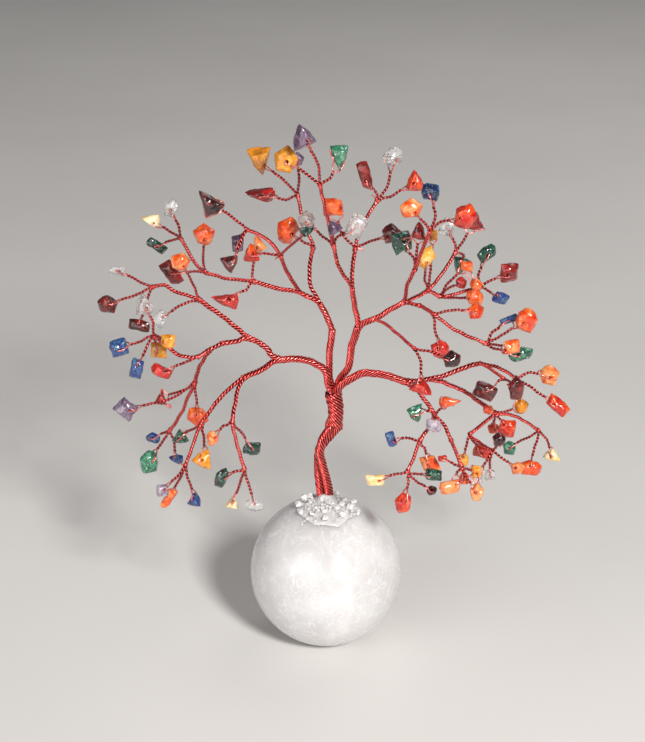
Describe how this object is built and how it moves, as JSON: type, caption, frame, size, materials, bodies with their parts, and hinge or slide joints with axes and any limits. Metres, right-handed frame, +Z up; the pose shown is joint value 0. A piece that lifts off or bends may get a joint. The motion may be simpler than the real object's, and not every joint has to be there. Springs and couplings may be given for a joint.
{
  "type": "wire gemstone tree ornament",
  "caption": "Tree of twisted red copper wire whose twigs hold drilled tumbled stone chips, standing on a polished milky quartz ball.",
  "frame": {"origin": "centre of the ball's flat ground foot, on the surface it stands on", "axes": "+Z up the trunk, +X to the right across the fan of branches, +Y away from the front"},
  "size_m": [0.1514, 0.0574, 0.1798],
  "materials": {
    "red_wire": "glossy enamelled copper wire, twisted",
    "milky_quartz": "polished, cloudy",
    "clear_glue": "clear, set in lumps",
    "crushed_quartz": "rough broken crystal",
    "clear_quartz": "tumbled, clear with white clouds",
    "amethyst": "tumbled, translucent",
    "carnelian": "tumbled, translucent with pale bands",
    "red_jasper": "tumbled, polished",
    "garnet": "tumbled, polished, nearly black",
    "green_aventurine": "tumbled, speckled",
    "lapis": "tumbled, blue and green mottled",
    "citrine": "tumbled, waxy"
  },
  "bodies": {
    "root": {"crown_left_branch": "red_wire", "crown_middle_branch": "red_wire", "crown_right_branch": "red_wire", "crystal_ball": "milky_quartz", "far_left_branch": "red_wire", "glue_bed": "clear_glue", "left_amethyst_chips": "amethyst", "left_aventurine_chips": "green_aventurine", "left_carnelian_chips": "carnelian", "left_citrine_chips": "citrine", "left_drooping_branch": "red_wire", "left_garnet_chips": "garnet", "left_inner_branch": "red_wire", "left_jasper_chips": "red_jasper", "left_lapis_chips": "lapis", "left_limb": "red_wire", "left_middle_branch": "red_wire", "left_outer_branch": "red_wire", "left_quartz_chips": "clear_quartz", "left_trunk_strand": "red_wire", "left_upper_branch": "red_wire", "quartz_grains": "crushed_quartz", "right_amethyst_chips": "amethyst", "right_aventurine_chips": "green_aventurine", "right_carnelian_chips": "carnelian", "right_citrine_chips": "citrine", "right_drooping_branch": "red_wire", "right_fan_branch": "red_wire", "right_garnet_chips": "garnet", "right_hanging_branch": "red_wire", "right_inner_branch": "red_wire", "right_lapis_chips": "lapis", "right_limb": "red_wire", "right_long_branch": "red_wire", "right_lower_branch": "red_wire", "right_middle_branch": "red_wire", "right_quartz_chips": "clear_quartz", "right_tip_branch": "red_wire", "right_trunk_strand": "red_wire", "root_wires": "red_wire", "trunk_collar": "red_wire", "upper_left_amethyst_chips": "amethyst", "upper_left_aventurine_chips": "green_aventurine", "upper_left_branch": "red_wire", "upper_left_carnelian_chips": "carnelian", "upper_left_citrine_chips": "citrine", "upper_left_garnet_chips": "garnet", "upper_left_jasper_chips": "red_jasper", "upper_left_limb": "red_wire", "upper_left_quartz_chips": "clear_quartz", "upper_right_amethyst_chips": "amethyst", "upper_right_aventurine_chips": "green_aventurine", "upper_right_branch": "red_wire", "upper_right_carnelian_chips": "carnelian", "upper_right_citrine_chips": "citrine", "upper_right_garnet_chips": "garnet", "upper_right_jasper_chips": "red_jasper", "upper_right_lapis_chips": "lapis", "upper_right_limb": "red_wire", "upper_right_quartz_chips": "clear_quartz"}
  },
  "joints": []
}
